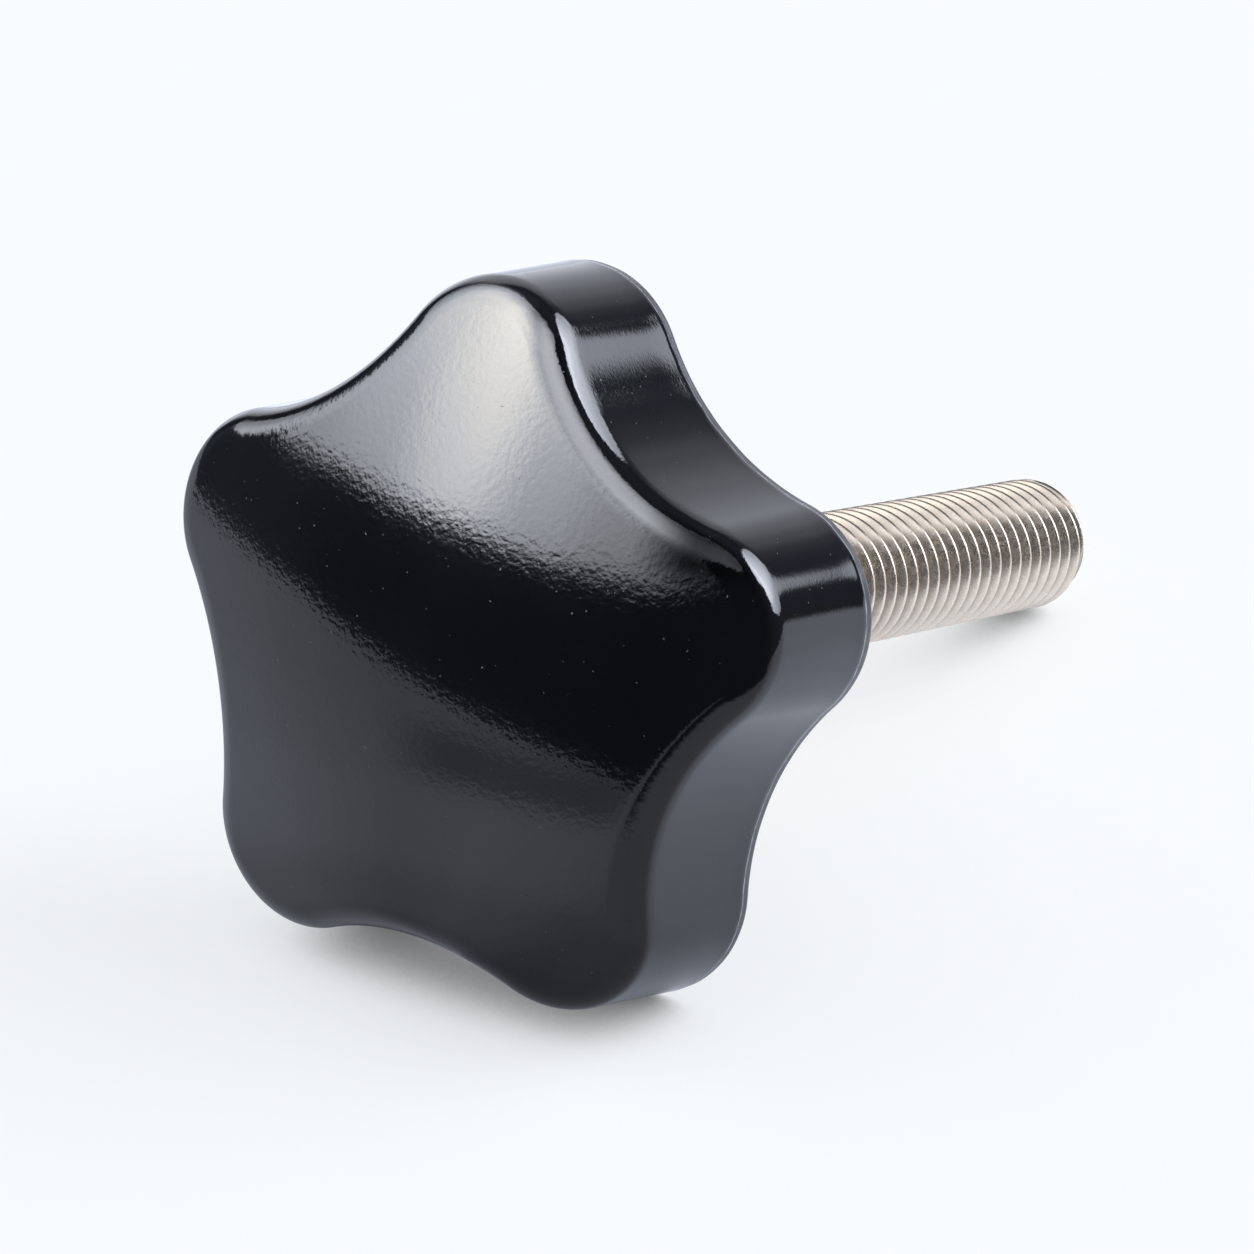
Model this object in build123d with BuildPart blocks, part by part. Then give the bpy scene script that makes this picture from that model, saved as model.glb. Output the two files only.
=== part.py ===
from build123d import *
import math
import os

# Five-lobed star knob with a moulded-in M10 stud, lying as it comes to rest:
# on the back rims of its two lower lobes and on the tip of its stud.
# Row frame: +Z up, the crowned face looks towards -Y and a little up,
# the stud runs towards +Y and slopes down to its tip. Millimetres.

# ---- star outline, at the back rim ----
head_d = 50.0            # diameter over the lobes
lobes = 5
lobe_r = 7.65            # lobe tip arc
valley_r = 18.7          # finger hollow arc between two lobes

# ---- grip section ----
crown_h = 15.3           # back rim plane to the top of the crowned face
crown_r = 82.0           # spherical radius of the face
wall_draft = 2.9         # degrees, the wall narrows towards the face
front_fillet = 2.6       # rounding between the face and the wall
rim_r = 0.5              # trimmed back rim
hub_d = 20.0             # plain round hub behind the head
hub_h = 14.5
hub_draft = 1.0
hub_root_fillet = 1.5
hub_end_fillet = 0.6
relief_d = 10.2          # shallow round relief in the hub's end, round the stud
relief_depth = 0.5

# ---- stud: hexagon head screw, moulded in ----
thread_d = 10.0          # M10 x 1.5, carried as its major cylinder
thread_len = 50.0        # free length beyond the hub
tip_chamfer = 1.0
shank_d = 9.0            # plain shank sunk in the hub, at the thread's pitch diameter
shank_depth = 5.5        # from the back rim plane to the underside of the screw head
hex_af = 16.0            # across flats
hex_h = 6.4
hex_end_r = 7.6          # radius of the screw head's flat end before its 30 degree chamfer

# ---- derived: star geometry ----
lobe_a = head_d / 2 - lobe_r                      # centre of a lobe arc
half = math.pi / lobes
reach = lobe_r + valley_r
valley_a = lobe_a * math.cos(half) + math.sqrt(reach ** 2 - (lobe_a * math.sin(half)) ** 2)
lobe_c = (lobe_a, 0.0)
valley_c = (valley_a * math.cos(half), valley_a * math.sin(half))
blend = math.atan2(valley_c[1] - lobe_c[1], valley_c[0] - lobe_c[0])   # lobe arc's half angle

# ---- derived: how it lies ----
# The floor touches the rounded back rim of both lower lobes and the corner of
# the stud's tip chamfer. v is up along the top lobe, w is along the stud.
tan_d = math.tan(math.radians(wall_draft))
cos_d = math.cos(math.radians(wall_draft))
rim_v = -(lobe_a * math.cos(half) + lobe_r - rim_r * tan_d - rim_r / cos_d)
rim_w = -rim_r
tip_v = -thread_d / 2
tip_w = hub_h + thread_len - tip_chamfer
dv, dw = tip_v - rim_v, tip_w - rim_w
lie = math.atan2(dv, dw) + math.asin(rim_r / math.hypot(dv, dw))
s, c = math.sin(lie), math.cos(lie)
back_z = -(c * tip_v - s * tip_w)                 # height of the rim plane's centre
back_y = -23.03                                   # puts the middle of the box at Y = 0

front_dir = Vector(0, -c, s)
back = Plane(origin=(0, back_y, back_z), x_dir=(1, 0, 0), z_dir=front_dir)
stud_plane = Plane(origin=(0, back_y, back_z), x_dir=(-1, 0, 0), z_dir=-front_dir)
stud_axis = Axis((0, back_y, back_z), (0, c, -s))


def polar(centre, radius, angle):
    return (centre[0] + radius * math.cos(angle), centre[1] + radius * math.sin(angle))


def turned(p, angle):
    return (p[0] * math.cos(angle) - p[1] * math.sin(angle),
            p[0] * math.sin(angle) + p[1] * math.cos(angle))


# ---- stud ----
with BuildPart() as threaded_stud:
    # screw head with a chamfered outer end, sunk in the grip
    with BuildSketch(stud_plane.offset(-shank_depth - hex_h)):
        RegularPolygon(radius=hex_af / 2, side_count=6, major_radius=False)
    extrude(amount=hex_h)
    with Locations(stud_plane.offset(-shank_depth - hex_h)):
        Cone(bottom_radius=hex_end_r, top_radius=hex_end_r + hex_h / math.tan(math.radians(30)),
             height=hex_h, align=(Align.CENTER, Align.CENTER, Align.MIN), mode=Mode.INTERSECT)
    # plain shank, sunk in the hub
    with BuildSketch(stud_plane.offset(-shank_depth)):
        Circle(shank_d / 2)
    extrude(amount=shank_depth + hub_h)
    # free thread, as its major cylinder, with a chamfered tip
    with BuildSketch(stud_plane.offset(hub_h)):
        Circle(thread_d / 2)
    extrude(amount=thread_len)
    tip = threaded_stud.faces().sort_by(stud_axis)[-1]
    chamfer(tip.edges(), length=tip_chamfer)
threaded_stud.part.label = "threaded_stud"

# ---- moulded grip ----
with BuildPart() as star_grip:
    with BuildSketch(back):
        with BuildLine():
            for k in range(lobes):
                turn = math.pi / 2 + 2 * half * k
                ThreePointArc(turned(polar(lobe_c, lobe_r, -blend), turn),
                              turned(polar(lobe_c, lobe_r, 0), turn),
                              turned(polar(lobe_c, lobe_r, blend), turn))
                ThreePointArc(turned(polar(lobe_c, lobe_r, blend), turn),
                              turned(polar(valley_c, valley_r, math.pi + half), turn),
                              turned(polar(lobe_c, lobe_r, -blend), turn + 2 * half))
        make_face()
    extrude(amount=crown_h + 1, taper=wall_draft)
    # crowned face
    with Locations(back.offset(crown_h - crown_r)):
        Sphere(crown_r, mode=Mode.INTERSECT)
    face_edges = star_grip.faces().filter_by(GeomType.SPHERE)[0].edges()
    fillet(face_edges, radius=front_fillet)
    rim_edges = star_grip.faces().sort_by(stud_axis)[-1].edges()
    fillet(rim_edges, radius=rim_r)
    # hub
    with BuildSketch(stud_plane):
        Circle(hub_d / 2 + hub_h * math.tan(math.radians(hub_draft)))
    extrude(amount=hub_h, taper=hub_draft)
    hub_end = star_grip.faces().sort_by(stud_axis)[-1]
    fillet(hub_end.edges(), radius=hub_end_fillet)
    hub_root = [e for e in star_grip.edges().filter_by(GeomType.CIRCLE)
                if abs(stud_plane.to_local_coords(e.arc_center).Z) < 0.01
                and abs(e.radius - hub_d / 2 - hub_h * math.tan(math.radians(hub_draft))) < 0.01]
    fillet(hub_root, radius=hub_root_fillet)
    # the moulding closes round the sunk screw
    add(threaded_stud.part, mode=Mode.SUBTRACT)
    with BuildSketch(stud_plane.offset(hub_h - relief_depth)):
        Circle(relief_d / 2)
    extrude(amount=relief_depth, mode=Mode.SUBTRACT)
star_grip.part.label = "star_grip"

os.makedirs("parts", exist_ok=True)
export_step(star_grip.part, "parts/star_grip.step")
export_step(threaded_stud.part, "parts/threaded_stud.step")

both = star_grip.part.bounding_box().add(threaded_stud.part.bounding_box())
print("lying angle", round(math.degrees(lie), 3), "rim centre", back_y, round(back_z, 3))
print("box", both.min, both.max)
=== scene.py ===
import math

import bmesh
import bpy
import numpy as np
from mathutils import Matrix, Vector


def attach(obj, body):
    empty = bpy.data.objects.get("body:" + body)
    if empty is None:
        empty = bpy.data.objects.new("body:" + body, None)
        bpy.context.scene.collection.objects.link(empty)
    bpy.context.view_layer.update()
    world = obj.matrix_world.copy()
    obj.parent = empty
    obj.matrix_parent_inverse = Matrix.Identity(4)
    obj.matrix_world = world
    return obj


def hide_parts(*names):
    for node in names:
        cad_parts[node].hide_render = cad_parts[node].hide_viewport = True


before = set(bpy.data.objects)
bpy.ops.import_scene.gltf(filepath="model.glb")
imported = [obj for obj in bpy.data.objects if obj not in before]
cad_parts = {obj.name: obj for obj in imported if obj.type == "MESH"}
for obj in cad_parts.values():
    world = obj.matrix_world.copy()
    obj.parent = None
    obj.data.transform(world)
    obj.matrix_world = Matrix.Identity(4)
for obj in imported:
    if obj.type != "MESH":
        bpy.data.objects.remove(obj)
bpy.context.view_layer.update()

MM = 0.001

# ---------------------------------------------------------------- dimensions, mm, the same as the solids
HEAD_D, LOBES, LOBE_R, VALLEY_R = 50.0, 5, 7.65, 18.7
CROWN_H, CROWN_R, DRAFT, FRONT_R, RIM_R = 15.3, 82.0, math.radians(2.9), 2.6, 0.5
HUB_D, HUB_H, HUB_DRAFT, HUB_ROOT_R, HUB_END_R = 20.0, 14.5, math.radians(1.0), 1.5, 0.6
THREAD_D, PITCH, THREAD_LEN, TIP = 10.0, 1.5, 50.0, 1.0
BACK_Y = -23.03

half = math.pi / LOBES
lobe_a = HEAD_D / 2 - LOBE_R
reach = LOBE_R + VALLEY_R
valley_a = lobe_a * math.cos(half) + math.sqrt(reach ** 2 - (lobe_a * math.sin(half)) ** 2)
rim_v = -(lobe_a * math.cos(half) + LOBE_R - RIM_R * math.tan(DRAFT) - RIM_R / math.cos(DRAFT))
tip_v, tip_w = -THREAD_D / 2, HUB_H + THREAD_LEN - TIP
dv, dw = tip_v - rim_v, tip_w + RIM_R
LIE = math.atan2(dv, dw) + math.asin(RIM_R / math.hypot(dv, dw))
S, C = math.sin(LIE), math.cos(LIE)
BACK_Z = -(C * tip_v - S * tip_w)


def to_row(p):
    """(x, v, w) in mm, v up along the top lobe and w along the stud -> metres in the row frame."""
    p = np.asarray(p, float)
    return np.stack([p[..., 0],
                     BACK_Y + S * p[..., 1] + C * p[..., 2],
                     BACK_Z + C * p[..., 1] - S * p[..., 2]], -1) * MM


# ---------------------------------------------------------------- grip mesh
def star(m):
    """The rim outline and its outward normals, m steps on each arc half."""
    vc = np.array([valley_a * math.cos(half), valley_a * math.sin(half)])
    blend = math.atan2(vc[1], vc[0] - lobe_a)
    t = np.linspace(0, blend, m + 1)
    lobe = np.c_[lobe_a + LOBE_R * np.cos(t), LOBE_R * np.sin(t)]
    ln = np.c_[np.cos(t), np.sin(t)]
    t2 = np.linspace(blend + math.pi, half + math.pi, m + 1)[1:]
    val = np.c_[vc[0] + VALLEY_R * np.cos(t2), vc[1] + VALLEY_R * np.sin(t2)]
    vn = -np.c_[np.cos(t2), np.sin(t2)]
    h, n = np.r_[lobe, val], np.r_[ln, vn]
    sec = np.r_[h[::-1] * [1, -1], h[1:]][:-1]
    sn = np.r_[n[::-1] * [1, -1], n[1:]][:-1]
    P, N = [], []
    for k in range(LOBES):
        a = math.pi / 2 + 2 * half * k
        r = np.array([[math.cos(a), -math.sin(a)], [math.sin(a), math.cos(a)]])
        P.append(sec @ r.T)
        N.append(sn @ r.T)
    return np.vstack(P), np.vstack(N)


def loop_noise(n, seed, waves, power=0.0):
    """A smooth periodic wobble of unit size round a closed ring of n points."""
    rng = np.random.default_rng(seed)
    t = np.linspace(0, 2 * math.pi, n, endpoint=False)
    out = np.zeros(n)
    for k in waves:
        out += rng.normal() / k ** power * np.cos(k * t + rng.uniform(0, 2 * math.pi))
    return out / np.abs(out).max()


def grip_rings():
    O, N = star(30)
    n = len(O)
    td, cd, sd = math.tan(DRAFT), math.cos(DRAFT), math.sin(DRAFT)
    dc = CROWN_H - CROWN_R
    lo, hi = np.full(n, -5.0), np.full(n, CROWN_H + 1)
    for _ in range(60):
        hw = (lo + hi) / 2
        cxy = O - N * (hw * td)[:, None] - N * (FRONT_R * cd)
        ch = hw - FRONT_R * sd
        f = (cxy ** 2).sum(1) + (ch - dc) ** 2 - (CROWN_R - FRONT_R) ** 2
        hi, lo = np.where(f > 0, hw, hi), np.where(f > 0, lo, hw)
    nw = np.c_[N * cd, np.full(n, sd)]
    nd = np.c_[cxy, ch - dc]
    nd /= np.linalg.norm(nd, axis=1)[:, None]
    centre = np.c_[cxy, ch]
    ang = np.arccos(np.clip((nw * nd).sum(1), -1, 1))
    rings, kinds = [], []

    def add(xyh, kind):
        rings.append(xyh * [1, 1, -1])
        kinds.append(kind)

    edge = (centre + FRONT_R * nd)[:, :2]
    for t in np.r_[0.012, np.linspace(0, 1, 60)[1:-1]]:
        xy = edge * t
        add(np.c_[xy, dc + np.sqrt(CROWN_R ** 2 - (xy ** 2).sum(1))], "crown")
    for t in np.linspace(0, 1, 22):
        s = (np.sin(t * ang)[:, None] * nw + np.sin((1 - t) * ang)[:, None] * nd) / np.sin(ang)[:, None]
        add(centre + FRONT_R * s, "edge")
    # wall, down to the trimmed rim
    wob = 0.045 * loop_noise(n, 5, range(20, 90)) + 0.06 * loop_noise(n, 8, range(3, 20))
    band = 0.86 + wob                       # height of the trim line above the back
    # the wall opens out by a few hundredths towards its parting edge
    flare_h, flare = 3.0, 0.0052

    def out_at(h):
        return flare * np.maximum(flare_h - h, 0) ** 2 - h * td

    for t in np.linspace(0, 1, 26)[1:] ** 0.85:
        h = hw * (1 - t) + (band + 0.10) * t
        add(np.c_[O + N * out_at(h)[:, None], h], "wall")
    # the flash was dressed off: a scraped step, then a satin band and a rounded edge; the step's pale line is a
    # painted highlight
    step = 0.060 + 0.022 * loop_noise(n, 11, range(10, 70))
    for lift, cut in ((0.03, 0.35), (-0.06, 0.85), (-0.10, 1.0)):
        add(np.c_[O + N * (out_at(band + lift) - cut * step)[:, None], band + lift], "line")
    add(np.c_[O + N * (out_at(band * 0 + 0.56) - step)[:, None], band * 0 + 0.56], "rim")
    base = O + N * (flare * (flare_h - RIM_R) ** 2 - RIM_R * td)
    rr = RIM_R - 0.06
    for a in np.radians([2, 14, 28, 42, 56, 70, 82, 90]):
        off = rr - rr * math.cos(a) + step * (1 - math.sin(a))
        add(np.c_[base - N * off[:, None], np.full(n, rr - rr * math.sin(a))], "rim")
    # flat back, from the star to the hub's round root
    root = HUB_D / 2 + HUB_H * math.tan(HUB_DRAFT)
    inner = base - N * rr
    th = np.arctan2(inner[:, 1], inner[:, 0])
    circ = np.c_[np.cos(th), np.sin(th)]
    r0 = root + HUB_ROOT_R
    for t in np.linspace(0, 1, 12)[1:]:
        xy = inner * (1 - t) + circ * r0 * t
        add(np.c_[xy, np.zeros(n)], "back")
    for a in np.radians(np.linspace(0, 89, 10))[1:]:
        r = root + HUB_ROOT_R - HUB_ROOT_R * math.sin(a)
        add(np.c_[circ * r, np.full(n, -(HUB_ROOT_R - HUB_ROOT_R * math.cos(a)))], "hub")
    h_end = HUB_H - HUB_END_R
    for h in np.linspace(HUB_ROOT_R, h_end, 8)[1:]:
        add(np.c_[circ * (root - h * math.tan(HUB_DRAFT)), np.full(n, -h)], "hub")
    r_end = root - h_end * math.tan(HUB_DRAFT)
    for a in np.radians(np.linspace(0, 90, 8))[1:]:
        add(np.c_[circ * (r_end - HUB_END_R * (1 - math.cos(a))), np.full(n, -(h_end + HUB_END_R * math.sin(a)))], "hub")
    for r, h in ((8.2, HUB_H), (7.0, HUB_H), (6.0, HUB_H), (5.35, HUB_H), (5.18, HUB_H - 0.05),
                 (5.1, HUB_H - 0.2), (5.1, HUB_H - 1.4), (5.08, HUB_H - 1.5), (3.0, HUB_H - 1.5), (0.5, HUB_H - 1.5)):
        add(np.c_[circ * r, np.full(n, -h)], "hub")
    top = np.array([[0, 0, -CROWN_H]])
    end = np.array([[0, 0, HUB_H - 1.5]])
    return rings, kinds, top, end


def ring_mesh(name, rings, kinds, first, last, materials, flip):
    n = len(rings[0])
    verts = np.vstack([first] + rings + [last])
    faces, mats = [], []
    order = []
    for k in kinds:
        if k not in order:
            order.append(k)
    idx = np.arange(n)
    nxt = (idx + 1) % n
    for j in idx:
        faces.append((0, 1 + nxt[j], 1 + j))
        mats.append(materials[kinds[0]])
    for i in range(len(rings) - 1):
        a, b = 1 + i * n, 1 + (i + 1) * n
        m = materials[kinds[i + 1]]
        for j in idx:
            faces.append((a + j, a + nxt[j], b + nxt[j], b + j))
            mats.append(m)
    z = 1 + (len(rings) - 1) * n
    e = len(verts) - 1
    for j in idx:
        faces.append((z + j, z + nxt[j], e))
        mats.append(materials[kinds[-1]])
    if flip:
        faces = [f[::-1] for f in faces]
    me = bpy.data.meshes.new(name)
    me.from_pydata([tuple(v) for v in to_row(verts)], [], [tuple(int(q) for q in f) for f in faces])
    me.polygons.foreach_set("material_index", mats)
    me.polygons.foreach_set("use_smooth", [True] * len(faces))
    me.update()
    ob = bpy.data.objects.new(name, me)
    bpy.context.scene.collection.objects.link(ob)
    return ob


def outward(ob):
    bm = bmesh.new()
    bm.from_mesh(ob.data)
    bmesh.ops.recalc_face_normals(bm, faces=bm.faces)
    vol = bm.calc_volume(signed=True)
    if vol < 0:
        bmesh.ops.reverse_faces(bm, faces=bm.faces)
    bad = [e for e in bm.edges if not e.is_manifold]
    print(ob.name, "faces", len(bm.faces), "open edges", len(bad), "volume mm3", round(abs(vol) * 1e9, 1))
    bm.to_mesh(ob.data)
    bm.free()


rings, kinds, top, end = grip_rings()
slots = {"crown": 0, "edge": 0, "wall": 1, "rim": 2, "back": 3, "hub": 3, "line": 4}
grip = ring_mesh("star_grip_body", rings, kinds, top, end, slots, False)
outward(grip)


# ---------------------------------------------------------------- stud mesh with its helical thread
def thread_profile():
    """Half a pitch of the ISO metric external thread from crest to root, (t, r) in mm."""
    r = THREAD_D / 2 - 0.02
    pts = [(0.0, r), (0.05, r - 0.006), (0.10, r - 0.027), (0.145, r - 0.062), (0.18, r - 0.105)]
    for f in (0.33, 0.66):
        pts.append((0.18 + (0.5625 - 0.18) * f, (r - 0.105) + (4.188 - (r - 0.105)) * f))
    for a in (30, 50, 70, 90):
        q = math.radians(a)
        pts.append((0.75 - 0.2165 * math.cos(q), 4.2965 - 0.2165 * math.sin(q)))
    return pts


def make_stud(name):
    prof = thread_profile()
    one = [(t, r) for t, r in prof] + [(PITCH - t, r) for t, r in prof[-2:0:-1]]
    K, M = len(one), 96
    w0, w1 = HUB_H - 1.2, HUB_H + THREAD_LEN
    start = w0 - 1.6 * PITCH
    turns = int(math.ceil((w1 - start) / PITCH)) + 1
    rows = K * turns + 1
    V = np.zeros((rows, M, 3))
    phi = 2 * math.pi * np.arange(M) / M
    for i in range(rows):
        t, r = one[i % K]
        w = start + (i // K) * PITCH + t + PITCH * np.arange(M) / M
        rr = np.minimum(r, THREAD_D / 2 - (w - (w1 - TIP)))
        rr = np.maximum(rr, 1.0)
        V[i] = np.c_[-rr * np.cos(phi), rr * np.sin(phi), w]
    vid = np.arange(rows * M).reshape(rows, M)
    faces = []
    for i in range(rows - 1):
        for j in range(M - 1):
            faces.append((vid[i, j], vid[i, j + 1], vid[i + 1, j + 1], vid[i + 1, j]))
        if i + 1 + K < rows:
            faces.append((vid[i, M - 1], vid[i + K, 0], vid[i + 1 + K, 0], vid[i + 1, M - 1]))
    me = bpy.data.meshes.new(name)
    me.from_pydata([tuple(v) for v in V.reshape(-1, 3)], [], [tuple(int(q) for q in f) for f in faces])
    bm = bmesh.new()
    bm.from_mesh(me)
    for co, no in (((0, 0, w0), (0, 0, -1)), ((0, 0, w1), (0, 0, 1))):
        cut = bmesh.ops.bisect_plane(bm, geom=bm.verts[:] + bm.edges[:] + bm.faces[:], dist=1e-5,
                                     plane_co=co, plane_no=no, clear_outer=True)
        edges = [g for g in cut["geom_cut"] if isinstance(g, bmesh.types.BMEdge)]
        bmesh.ops.remove_doubles(bm, verts=bm.verts[:], dist=2e-4)
        edges = [e for e in bm.edges if e.is_boundary and all(abs(v.co.z - co[2]) < 1e-3 for v in e.verts)]
        made = bmesh.ops.edgenet_fill(bm, edges=edges)
        for f in made["faces"]:
            f.material_index = 1
        bmesh.ops.poke(bm, faces=made["faces"])
    for f in bm.faces:
        f.smooth = f.material_index == 0
    for v in bm.verts:
        v.co = Vector(to_row(np.array(v.co)))
    bm.to_mesh(me)
    bm.free()
    ob = bpy.data.objects.new(name, me)
    bpy.context.scene.collection.objects.link(ob)
    return ob


stud = make_stud("threaded_stud_body")
outward(stud)


# ---------------------------------------------------------------- node helpers
class Graph:
    def __init__(self, tree):
        self.t = tree
        tree.nodes.clear()

    def new(self, kind, **props):
        n = self.t.nodes.new(kind)
        for k, v in props.items():
            setattr(n, k, v)
        return n

    def put(self, sock, value):
        if isinstance(value, bpy.types.NodeSocket):
            self.t.links.new(value, sock)
        elif value is not None:
            sock.default_value = value

    def math(self, op, a, b=None, c=None, clamp=False):
        n = self.new("ShaderNodeMath", operation=op, use_clamp=clamp)
        for s, v in zip(n.inputs, (a, b, c)):
            self.put(s, v)
        return n.outputs[0]

    def step(self, x, a, b):
        """0 below a, 1 above b, smooth between."""
        n = self.new("ShaderNodeMapRange", interpolation_type="SMOOTHSTEP")
        self.put(n.inputs["Value"], x)
        lo, hi = (a, b)
        self.put(n.inputs["From Min"], lo)
        self.put(n.inputs["From Max"], hi)
        self.put(n.inputs["To Min"], 0.0)
        self.put(n.inputs["To Max"], 1.0)
        return n.outputs["Result"]

    def ramp(self, x, stops, interp="LINEAR"):
        n = self.new("ShaderNodeValToRGB")
        cr = n.color_ramp
        cr.interpolation = interp
        while len(cr.elements) < len(stops):
            cr.elements.new(0.5)
        for e, (p, v) in zip(cr.elements, stops):
            e.position = p
            e.color = (v, v, v, 1) if not hasattr(v, "__len__") else (*v, 1)
        self.put(n.inputs["Fac"], x)
        return n.outputs["Color"]

    def noise(self, vec, scale, detail=2.0, rough=0.5, distortion=0.0, color=False, kind="FBM"):
        n = self.new("ShaderNodeTexNoise", noise_type=kind)
        self.put(n.inputs["Vector"], vec)
        n.inputs["Scale"].default_value = scale
        n.inputs["Detail"].default_value = detail
        n.inputs["Roughness"].default_value = rough
        n.inputs["Distortion"].default_value = distortion
        return n.outputs["Color" if color else "Fac"]

    def mapping(self, vec, scale=(1, 1, 1), rot=(0, 0, 0), loc=(0, 0, 0)):
        n = self.new("ShaderNodeMapping")
        self.put(n.inputs["Vector"], vec)
        n.inputs["Scale"].default_value = scale
        n.inputs["Rotation"].default_value = rot
        n.inputs["Location"].default_value = loc
        return n.outputs["Vector"]

    def mix(self, fac, a, b):
        n = self.new("ShaderNodeMix", data_type="RGBA")
        self.put(n.inputs["Factor"], fac)
        self.put(n.inputs[6], a)
        self.put(n.inputs[7], b)
        return n.outputs[2]

    def range(self, x, a, b, c, d):
        n = self.new("ShaderNodeMapRange")
        for s, v in zip(n.inputs, (x, a, b, c, d)):
            self.put(s, v)
        return n.outputs["Result"]

    def bump(self, height, strength, distance, normal=None):
        n = self.new("ShaderNodeBump")
        n.inputs["Strength"].default_value = strength
        n.inputs["Distance"].default_value = distance
        self.put(n.inputs["Height"], height)
        if normal is not None:
            self.put(n.inputs["Normal"], normal)
        return n.outputs["Normal"]


class Field(Graph):
    """Short arithmetic on node sockets, for the functions of direction below."""

    def mul(self, *xs):
        r = xs[0]
        for x in xs[1:]:
            r = self.math("MULTIPLY", r, x)
        return r

    def add(self, *xs):
        r = xs[0]
        for x in xs[1:]:
            r = self.math("ADD", r, x)
        return r

    def sub(self, a, b):
        return self.math("SUBTRACT", a, b)

    def inv(self, a):
        return self.math("SUBTRACT", 1.0, a)

    def lin(self, x, a, b):
        n = self.new("ShaderNodeMapRange", clamp=True)
        for s_, v in zip(n.inputs, (x, a, b, 0.0, 1.0)):
            self.put(s_, v)
        return n.outputs["Result"]

    def bend(self, x, lo, hi, stops):
        """Smooth curve through (x, value) stops; the ramp holds value / its largest value."""
        top = max(v for _, v in stops) or 1.0
        n = self.new("ShaderNodeValToRGB")
        cr = n.color_ramp
        cr.interpolation = "EASE"
        while len(cr.elements) < len(stops):
            cr.elements.new(0.5)
        for e, (p, v) in zip(cr.elements, stops):
            e.position = (p - lo) / (hi - lo)
            e.color = (v / top, v / top, v / top, 1)
        self.put(n.inputs["Fac"], self.lin(x, lo, hi))
        return self.math("MULTIPLY", n.outputs["Color"], top)

    def polar(self, x, y, z):
        """Azimuth and elevation in degrees; azimuth 0 is -Y and grows towards +X."""
        deg = 180 / math.pi
        az_ = self.math("MULTIPLY", self.math("ARCTAN2", x, self.math("MULTIPLY", y, -1.0)), deg)
        flat = self.math("SQRT", self.math("ADD", self.math("MULTIPLY", x, x), self.math("MULTIPLY", y, y)))
        return az_, self.math("MULTIPLY", self.math("ARCTAN2", z, flat), deg)


def material(name):
    m = bpy.data.materials.new(name)
    m.use_nodes = True
    g = Graph(m.node_tree)
    out = g.new("ShaderNodeOutputMaterial")
    p = g.new("ShaderNodeBsdfPrincipled")
    g.t.links.new(p.outputs[0], out.inputs["Surface"])
    return m, g, p


# ---------------------------------------------------------------- materials
def plastic(name, peel, fine, rough, satin, dark=(0.0020, 0.0021, 0.0026), pale=(0.0032, 0.0034, 0.0042), grain=90.0, low_gloss=False):
    m, g, p = material(name)
    pos = g.new("ShaderNodeTexCoord").outputs["Object"]
    tint = g.noise(pos, grain, 3.0, 0.6)
    base = g.mix(g.range(tint, 0.35, 0.65, 0.0, 1.0), (*dark, 1), (*pale, 1))
    specks = g.step(g.noise(g.mapping(pos, loc=(0.3, 0.1, 0.2)), 4200.0, 0.0, 0.5), 0.835, 0.86)
    base = g.mix(specks, base, (0.020, 0.021, 0.024, 1))
    g.put(p.inputs["Base Color"], base)
    haze = g.noise(pos, 160.0, 4.0, 0.6)
    g.put(p.inputs["Roughness"], g.math("ADD", g.range(haze, 0.3, 0.7, rough, rough + 0.03), g.math("MULTIPLY", specks, 0.3)))
    p.inputs["IOR"].default_value = 1.52
    if low_gloss:
        # the gloss is lower on a small patch of the front edge
        at = g.new("ShaderNodeSeparateXYZ")
        g.put(at.inputs[0], pos)
        patch = g.math("MULTIPLY", g.step(at.outputs["X"], 0.0136, 0.0180),
                       g.math("MULTIPLY", g.math("SUBTRACT", 1.0, g.step(at.outputs["Y"], -0.0316, -0.0309)),
                              g.step(at.outputs["Z"], 0.0320, 0.0338)))
        g.put(p.inputs["Specular IOR Level"], g.math("SUBTRACT", 0.5, g.math("MULTIPLY", patch, 0.45)))
    h1 = g.noise(pos, 2300.0, 1.5, 0.5)
    h2 = g.noise(pos, 5600.0, 1.0, 0.5)
    h = g.math("ADD", g.math("MULTIPLY", h1, peel), g.math("MULTIPLY", h2, fine))
    if satin:
        # faint draw marks across the wall, fine along the stud and long round the rim
        along_w = g.mapping(pos, rot=(LIE, 0, 0))
        marks = g.noise(g.mapping(along_w, scale=(3400, 7200, 3400)), 1.0, 2.0, 0.5)
        h = g.math("ADD", h, g.math("MULTIPLY", marks, satin))
    n = g.bump(h, 1.0, 0.001)
    g.put(p.inputs["Normal"], n)
    return m


crown_mat = plastic("moulded_black_crown", 0.0075, 0.0016, 0.055, 0.0, low_gloss=True)
wall_mat = plastic("moulded_black_wall", 0.0010, 0.0005, 0.045, 0.0026)
# the rim band's grey base stands partly for its trimmed satin finish and partly for a painted sheen
rim_mat_painted_sheen = plastic("trimmed_black_rim_painted_sheen", 0.0100, 0.0040, 0.32, 0.0, (0.042, 0.044, 0.053), (0.075, 0.078, 0.090), 900.0)
# painted highlight: the pale base of the line along the rim step
painted_highlight_line_mat = plastic("black_line_painted_highlight", 0.0100, 0.0040, 0.34, 0.0, (0.030, 0.032, 0.037), (0.36, 0.37, 0.39), 800.0)
back_mat = plastic("moulded_black_back", 0.0060, 0.0030, 0.20, 0.0)

for m in (crown_mat, wall_mat, rim_mat_painted_sheen, back_mat, painted_highlight_line_mat):
    grip.data.materials.append(m)


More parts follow.
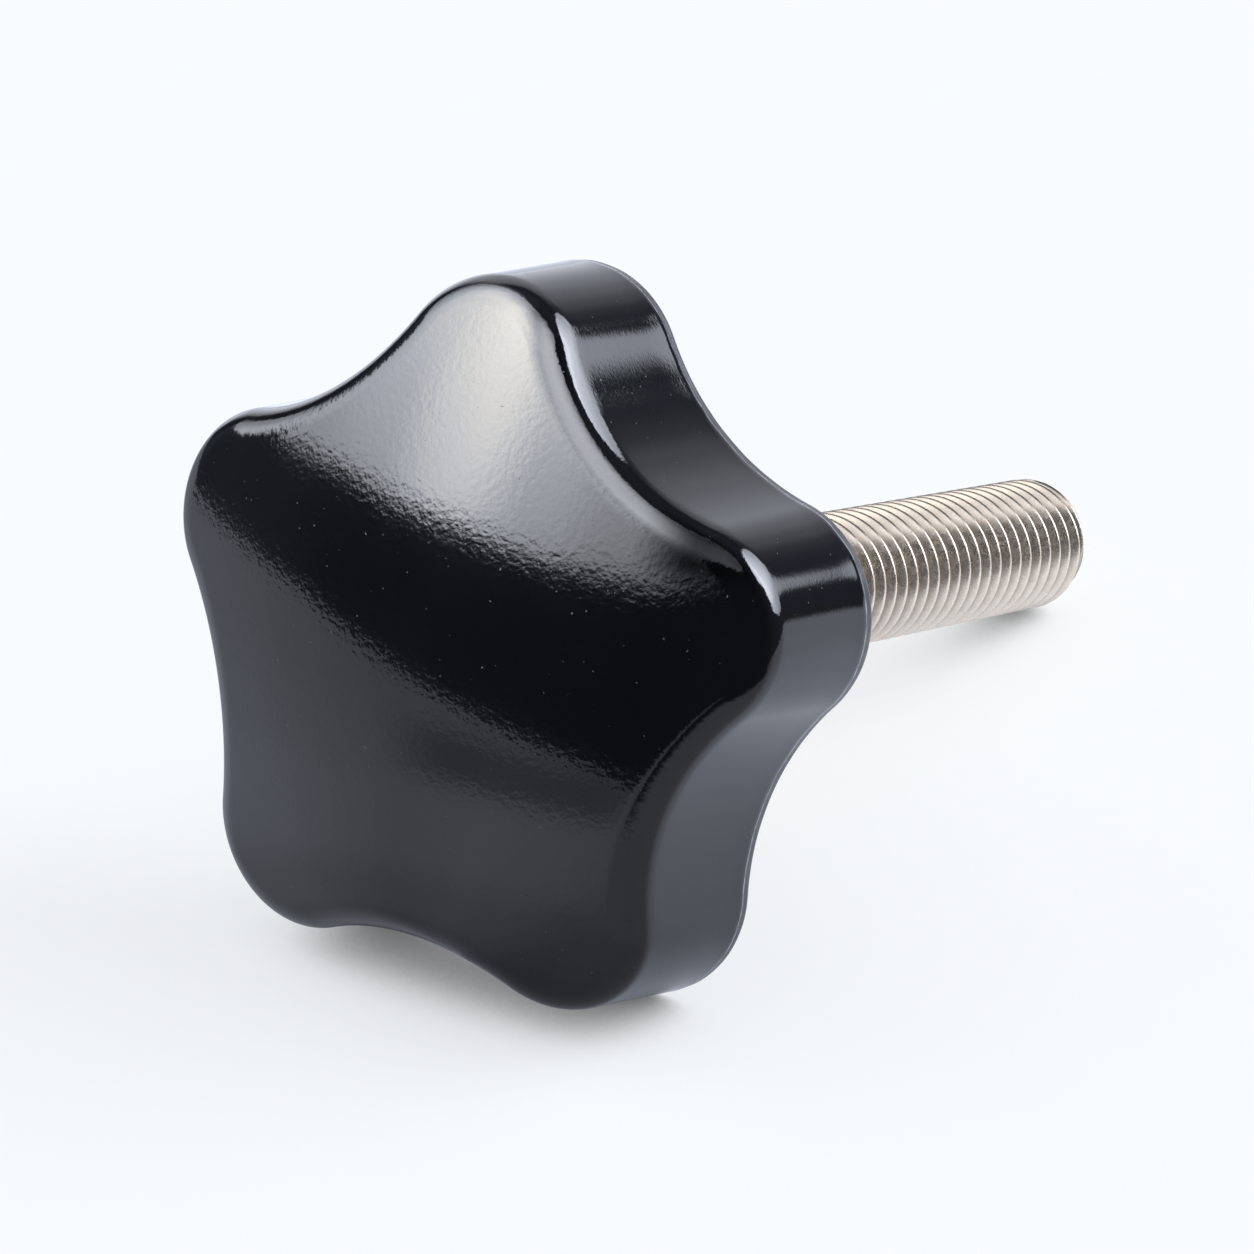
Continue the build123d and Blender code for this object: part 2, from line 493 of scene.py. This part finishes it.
def steel(name, end=False):
    m, g, p = material(name)
    pos = g.new("ShaderNodeTexCoord").outputs["Object"]
    p.inputs["Metallic"].default_value = 1.0
    tone = g.noise(pos, 700.0, 3.0, 0.6)
    base = g.mix(g.range(tone, 0.35, 0.65, 0.0, 1.0), (0.72, 0.63, 0.52, 1), (0.79, 0.70, 0.59, 1))
    # painted shade: the base colour is darkened on the upper side of the thread, where it faces the softboxes, and
    # darkened in the thread roots
    sep_ = g.new("ShaderNodeSeparateXYZ")
    g.put(sep_.inputs[0], pos)
    up = g.math("ADD", g.math("ADD", g.math("MULTIPLY", sep_.outputs["Y"], S), g.math("MULTIPLY", sep_.outputs["Z"], C)),
                -(S * BACK_Y + C * BACK_Z) * MM)
    painted_top_shade = g.step(up, 0.0010, 0.0046)
    far = g.math("SQRT", g.math("ADD", g.math("MULTIPLY", up, up), g.math("MULTIPLY", sep_.outputs["X"], sep_.outputs["X"])))
    painted_root_shade = g.math("SUBTRACT", 1.0, g.step(far, 0.00420, 0.00490))
    # painted shade: near-black base on the upper side
    base = g.mix(g.math("MULTIPLY", painted_top_shade, 0.945), base, (0.056, 0.051, 0.0455, 1))
    if not end:
        # painted shade in the thread roots
        root_shade_mix = g.new("ShaderNodeMix", data_type="RGBA", blend_type="MULTIPLY")
        g.put(root_shade_mix.inputs["Factor"], g.math("MULTIPLY", painted_root_shade, 0.95))
        g.put(root_shade_mix.inputs[6], base)
        root_shade_mix.inputs[7].default_value = (0.33, 0.285, 0.245, 1)
        base = root_shade_mix.outputs[2]
    g.put(p.inputs["Base Color"], base)
    g.put(p.inputs["Roughness"], g.range(g.noise(pos, 1500.0, 3.0, 0.6), 0.3, 0.7, 0.22, 0.31))
    g.put(p.inputs["Normal"], g.bump(g.noise(pos, 2600.0, 2.0, 0.5), 0.03, 0.00002))
    haze = g.new("ShaderNodeBsdfDiffuse")
    haze.inputs["Color"].default_value = (0.64, 0.555, 0.465, 1)
    both = g.new("ShaderNodeMixShader")
    both.inputs["Fac"].default_value = 0.15
    link = p.outputs[0].links[0]
    target = link.to_socket
    g.t.links.new(p.outputs[0], both.inputs[1])
    g.t.links.new(haze.outputs[0], both.inputs[2])
    g.t.links.new(both.outputs[0], target)
    return m


stud.data.materials.append(steel("plated_steel_thread"))
stud.data.materials.append(steel("plated_steel_end", True))

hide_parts("star_grip")
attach(grip, "root")
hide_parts("threaded_stud")
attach(stud, "root")

# ---------------------------------------------------------------- floor
FLOOR_R = 2.2
bm = bmesh.new()
bmesh.ops.create_circle(bm, cap_ends=True, radius=FLOOR_R, segments=96)
fm = bpy.data.meshes.new("floor")
bm.to_mesh(fm)
bm.free()
floor = bpy.data.objects.new("floor", fm)
floor.location = (0, 0, -0.00006)
bpy.context.scene.collection.objects.link(floor)
GLOW = 1.93                                # the paper's own even light, against 0.40 from the dome
fmat = bpy.data.materials.new("floor_paper")
fmat.use_nodes = True
g = Field(fmat.node_tree)
out = g.new("ShaderNodeOutputMaterial")
sep = g.new("ShaderNodeSeparateXYZ")
g.put(sep.inputs[0], g.new("ShaderNodeNewGeometry").outputs["Position"])
glossy = g.new("ShaderNodeLightPath").outputs["Is Glossy Ray"]
# painted reflection: how bright the paper looks in the knob's reflections, by where it lies round the knob; camera
# and lighting rays see the plain paper
qx, qy = sep.outputs["X"], g.sub(sep.outputs["Y"], -0.038)
qa, qe = g.polar(qx, qy, g.sub(sep.outputs["Z"], 0.022))
shade = g.mul(g.bend(qa, -180, 180, [(-180, 1), (-135, 1.45), (-124, 1.35), (-116, .62), (-106, .58), (-95, .88), (-80, 1.2), (-60, 1.33),
                                     (-50, 1.2), (-44, 1.1), (-36, 1.0), (-28, 1.04), (-19, 1.12), (-10, 1.05), (20, .7), (95, .65),
                                     (108, 1.15), (145, 1.2), (180, 1.0)]),
              g.bend(qe, -60, 0, [(-60, .6), (-42, .78), (-28, 1.0), (-19, 1.02), (-12, .95), (-4, .88)]))
# painted reflection: the paper at azimuth 122 to 135 is rescaled by elevation
painted_flank_gain = g.bend(qe, -60, 0, [(-60, .70), (-45, .78), (-36, .87), (-28, .92), (-22, 1.04), (-16, 1.15), (-9, 1.21), (-4, 1.33)])
shade = g.mul(shade, g.add(1.0, g.mul(g.step(qa, 122, 135), g.sub(painted_flank_gain, 1.0))))
# painted shade: a dark arc on the paper at the front left and a dimmed far edge, seen only in reflections
painted_arc_shade = g.mul(g.step(qa, -40, -28), g.inv(g.step(qa, -8, 4)), g.step(qe, -15, -11), g.inv(g.step(qe, -8, -4.5)))
painted_far_dimming = g.mul(g.step(qa, 118, 132), g.step(qe, -5, -2.5))
shade = g.mul(shade, g.sub(1.0, g.mul(painted_arc_shade, .5)), g.sub(1.0, g.mul(painted_far_dimming, .9)))
seen_shade = g.mul(glossy, shade)
col = g.new("ShaderNodeMix", data_type="RGBA", blend_type="MULTIPLY")
col.inputs["Factor"].default_value = 1.0
paper = g.noise(g.new("ShaderNodeTexCoord").outputs["Object"], 60.0, 3.0, 0.5)
g.put(col.inputs[6], g.mix(paper, (0.352, 0.3614, 0.3675, 1), (0.3565, 0.366, 0.372, 1)))
# painted reflection tint: for glossy rays the paper takes the painted shade, tinted blue
comb = g.new("ShaderNodeCombineColor")
for k, tint in enumerate((0.94, 0.985, 1.13)):
    g.put(comb.inputs[k], g.add(g.inv(glossy), g.mul(seen_shade, tint)))
g.put(col.inputs[7], comb.outputs[0])
dif = g.new("ShaderNodeBsdfDiffuse")
g.put(dif.inputs["Color"], col.outputs[2])
# painted contact shadow: the paper's glow is dimmed by ambient occlusion near the knob
contact_occlusion = g.new("ShaderNodeAmbientOcclusion", samples=12)
contact_occlusion.inputs["Distance"].default_value = 0.011
painted_shadow_factor = g.bend(contact_occlusion.outputs["AO"], 0, 1, [(0, .06), (.12, .19), (.25, .64), (.4, .94), (.6, .99), (1, 1)])
glow = g.new("ShaderNodeEmission")
g.put(glow.inputs["Strength"], g.math("MULTIPLY", painted_shadow_factor, GLOW))
g.put(glow.inputs["Color"], col.outputs[2])
paper_look = g.new("ShaderNodeAddShader")
g.t.links.new(dif.outputs[0], paper_look.inputs[0])
g.t.links.new(glow.outputs[0], paper_look.inputs[1])
gone = g.new("ShaderNodeBsdfTransparent")
kept = None
for edge_az, edge_d in ((36, 0.188), (56, 0.112)):
    a = math.radians(edge_az)
    along = g.add(g.mul(sep.outputs["X"], math.sin(a)), g.mul(sep.outputs["Y"], -math.cos(a)))
    inside = g.inv(g.step(along, edge_d - 0.001, edge_d + 0.001))
    kept = inside if kept is None else g.mul(kept, inside)
a = math.radians(61.3)
along = g.add(g.mul(sep.outputs["X"], math.sin(a)), g.mul(sep.outputs["Y"], -math.cos(a)))
corner = g.mul(g.step(along, 0.0700, 0.0820), g.step(sep.outputs["Y"], -0.124, -0.112), g.inv(g.step(sep.outputs["Y"], -0.034, -0.022)))
kept = g.mul(kept, g.inv(corner))
fac = g.mul(g.inv(kept), glossy)
mx = g.new("ShaderNodeMixShader")
g.put(mx.inputs["Fac"], fac)
g.t.links.new(paper_look.outputs[0], mx.inputs[1])
g.t.links.new(gone.outputs[0], mx.inputs[2])
g.t.links.new(mx.outputs[0], out.inputs["Surface"])
fm.materials.append(fmat)


# ---------------------------------------------------------------- surroundings, seen only in reflections
def surroundings(o, az, el, dot_b):
    """Radiance of the studio by direction: two softboxes, a pale backdrop, the dark room."""
    rows = [
        (12, [(-80, 3.2), (-65, 4.0), (-55, 4.9), (-45, 6.3), (-35, 10.6), (-25, 6.1), (-15, 3.4), (-5, .3), (0, 0)]),
        (20, [(-104, .6), (-95, 2.0), (-75, 5.5), (-55, 7.4), (-45, 8.7), (-38, 12.6), (-33, 14.2), (-25, 8.2), (-15, 5.4), (-5, 1.4), (1, .0)]),
        (30, [(-110, .2), (-105, .8), (-95, 2.8), (-85, 4.8), (-65, 8.8), (-55, 10.2), (-45, 13.0), (-35, 18.0), (-25, 11.8), (-15, 8.2), (-5, 3.5), (3, .0)]),
        (50, [(-122, 0), (-114, .5), (-105, 3.6), (-95, 6.6), (-75, 11.1), (-55, 14.4), (-35, 17.2), (-25, 16.7), (-15, 12.5), (-7, 10.3), (1, 9.6), (12, 10.0), (20, 10.6)]),
        (60, [(-126, 0), (-117, .8), (-105, 5.9), (-75, 12.0), (-35, 16.2), (-15, 11.0), (-6, 9.3), (1, 8.8), (6, 8.8), (14, 9.6), (25, 10.3), (35, 10.3), (48, 9.5), (62, 7.5), (72, 5.5), (80, 2.5), (88, .3)]),
        (73, [(-130, .1), (-122, 1.0), (-105, 7.0), (-35, 11.0), (-15, 8.5), (-4, 7.2), (6, 6.8), (12, 7.0), (22, 7.8), (35, 8.6), (58, 7.8), (72, 5.4), (85, 2.4), (98, .0)]),
        (84, [(-130, .1), (-122, .8), (-100, 5.0), (-60, 5.5), (-20, 4.0), (10, 3.4), (60, 3.0), (95, .0)]),
    ]
    a = o.bend(az, -130, 110, rows[0][1])
    for (e0, _), (e1, stops) in zip(rows, rows[1:]):
        t = o.lin(el, e0, e1)
        a = o.add(o.mul(a, o.inv(t)), o.mul(o.bend(az, -130, 110, stops), t))
    foot = o.bend(az, -130, 110, [(-113, 28), (-104, 24), (-97, 19), (-90, 18.6), (-80, 19.2), (-74, 17.6), (-67, 15.3), (-62, 13.0), (-57, 8.7), (-53, 9.5),
                                  (-47, 10.4), (-30, 11.8), (-10, 13.1), (-4, 14.8), (1.5, 37), (5, 41), (10, 45), (20, 50.5),
                                  (40, 55), (60, 56), (70, 57.5), (77, 60.5), (84, 65), (92, 75), (100, 86)])
    a = o.mul(a, o.step(o.sub(el, foot), -1.3, 1.3))
    left = o.bend(el, 0, 60, [(5, 108), (20, 110), (35, 109), (45, 104), (52, 98)])
    b = o.mul(o.step(dot_b, .8878, .9018), o.step(o.sub(az, left), -1.6, 1.6),
              o.bend(az, 90, 170, [(100, 14.5), (118, 16.5), (125, 13), (133, 11), (145, 8.5), (155, 6), (165, 4.5)]),
              o.bend(el, 0, 60, [(5, .34), (12, .43), (18, .54), (24, .80), (32, 1.0), (50, 1.0)]),
              o.inv(o.step(o.sub(az, o.bend(el, 10, 35, [(12, 154.6), (15, 154.9), (17.2, 155.6), (18.6, 156.3), (20, 157.0), (21.2, 157.8), (22.3, 160.5), (24, 164.5), (30, 172)])), -1.2, 1.2)),
              o.step(o.sub(el, o.bend(az, 130, 160, [(134, 3), (144, 9), (150, 10.6), (156, 12.2)])), -.9, .9))
    back = o.mul(o.bend(az, -180, 180, [(-180, .54), (-170, .88), (-160, 1.12), (-150, 1.3), (-135, 1.5), (-125, 1.7), (-118, 1.2),
                                        (-113.5, .10), (-111, 0), (160, 0), (166, .05), (172, .17), (180, .54)]),
                 o.bend(el, -5, 55, [(-5, 1.1), (5, .97), (15, .84), (30, .74)]), o.inv(o.step(el, 46, 55)))
    room = o.add(.062, o.mul(o.bend(az, -180, 180, [(-180, 1), (-128, 1), (-113, .15), (-103, .1), (-97, 1.0), (-62, .9), (-40, .2), (-5, 0),
                                                   (80, .0), (104, .8), (180, 1)]), .10),
                 o.mul(o.step(el, 58, 66), .05))
    return a, b, back, room


world = bpy.data.worlds.new("studio")
bpy.context.scene.world = world
world.use_nodes = True
g = Field(world.node_tree)
wout = g.new("ShaderNodeOutputWorld")
d = g.new("ShaderNodeSeparateXYZ")
g.put(d.inputs[0], g.new("ShaderNodeTexCoord").outputs["Generated"])
az, el = g.polar(d.outputs["X"], d.outputs["Y"], d.outputs["Z"])
BA, BE = math.radians(134), math.radians(32)
dot_b = g.add(g.mul(d.outputs["X"], math.sin(BA) * math.cos(BE)), g.mul(d.outputs["Y"], -math.cos(BA) * math.cos(BE)),
              g.mul(d.outputs["Z"], math.sin(BE)))
soft_a, soft_b, back_wall, room = surroundings(g, az, el, dot_b)
warm = g.mix(g.step(soft_a, 7.0, 17.0), (.94, .985, 1.08, 1), (1.02, 1.0, .965, 1))
total = None
for level, tint in ((soft_a, warm), (soft_b, (.93, .98, 1.10, 1)), (back_wall, (.96, .985, 1.07, 1)), (room, (.8, .95, 1.3, 1))):
    sc_ = g.new("ShaderNodeVectorMath", operation="SCALE")
    if isinstance(tint, tuple):
        sc_.inputs[0].default_value = tint[:3]
    else:
        g.put(sc_.inputs[0], tint)
    g.put(sc_.inputs["Scale"], level)
    if total is None:
        total = sc_.outputs[0]
    else:
        ad = g.new("ShaderNodeVectorMath", operation="ADD")
        g.put(ad.inputs[0], total)
        g.put(ad.inputs[1], sc_.outputs[0])
        total = ad.outputs[0]
refl = g.new("ShaderNodeBackground")
g.put(refl.inputs["Color"], total)
refl.inputs["Strength"].default_value = 1.0
seen = g.new("ShaderNodeBackground")
seen.inputs["Color"].default_value = (0.955, 0.972, 0.985, 1)
seen.inputs["Strength"].default_value = 1.0
dome = g.new("ShaderNodeBackground")
dome.inputs["Color"].default_value = (1, 1, 1, 1)
dome.inputs["Strength"].default_value = 0.40
path = g.new("ShaderNodeLightPath")
plain = g.new("ShaderNodeMixShader")
g.put(plain.inputs["Fac"], path.outputs["Is Diffuse Ray"])
g.t.links.new(refl.outputs[0], plain.inputs[1])
g.t.links.new(dome.outputs[0], plain.inputs[2])
mx = g.new("ShaderNodeMixShader")
g.put(mx.inputs["Fac"], path.outputs["Is Camera Ray"])
g.t.links.new(plain.outputs[0], mx.inputs[1])
g.t.links.new(seen.outputs[0], mx.inputs[2])
g.t.links.new(mx.outputs[0], wout.inputs["Surface"])
world.cycles.sampling_method = "NONE"


def soft_light(name, az_deg, el_deg, strength, spread, colour=(1, 1, 1)):
    """A very wide far light: even on the floor, with soft shadows."""
    a, e = math.radians(az_deg), math.radians(el_deg)
    to = Vector((math.sin(a) * math.cos(e), -math.cos(a) * math.cos(e), math.sin(e)))
    li = bpy.data.lights.new(name, "SUN")
    li.energy = strength
    li.angle = math.radians(spread)
    li.color = colour
    ob = bpy.data.objects.new(name, li)
    ob.location = to * 0.6
    ob.rotation_mode = "QUATERNION"
    ob.rotation_quaternion = to.to_track_quat("Z", "Y")
    ob.visible_glossy = False
    bpy.context.scene.collection.objects.link(ob)
    return ob


soft_light("soft_left", -40, 60, 0.28, 60)
soft_light("soft_right", 132, 42, 1.28, 45)

# ---------------------------------------------------------------- camera, standing where the photo was taken from
CAM = Vector((0.17040819, -0.25130221, 0.1510021))
RIGHT = Vector((0.81651876, 0.57697935, -0.01979756))
DOWN = Vector((0.22467202, -0.34916216, -0.90972978))
FWD = Vector((-0.53180785, 0.73836348, -0.41472857))
cam_data = bpy.data.cameras.new("camera")
cam_data.sensor_width = 36.0
cam_data.lens = 4741.771 / 1254 * 36.0
cam_data.clip_start, cam_data.clip_end = 0.01, 10.0
cam = bpy.data.objects.new("camera", cam_data)
rot = Matrix((RIGHT, -DOWN, -FWD)).transposed()
cam.matrix_world = Matrix.Translation(CAM) @ rot.to_4x4()
bpy.context.scene.collection.objects.link(cam)
bpy.context.scene.camera = cam

sc = bpy.context.scene
sc.view_settings.view_transform = "Standard"
sc.view_settings.look = "None"
sc.view_settings.exposure = 0.0
sc.view_settings.gamma = 1.0
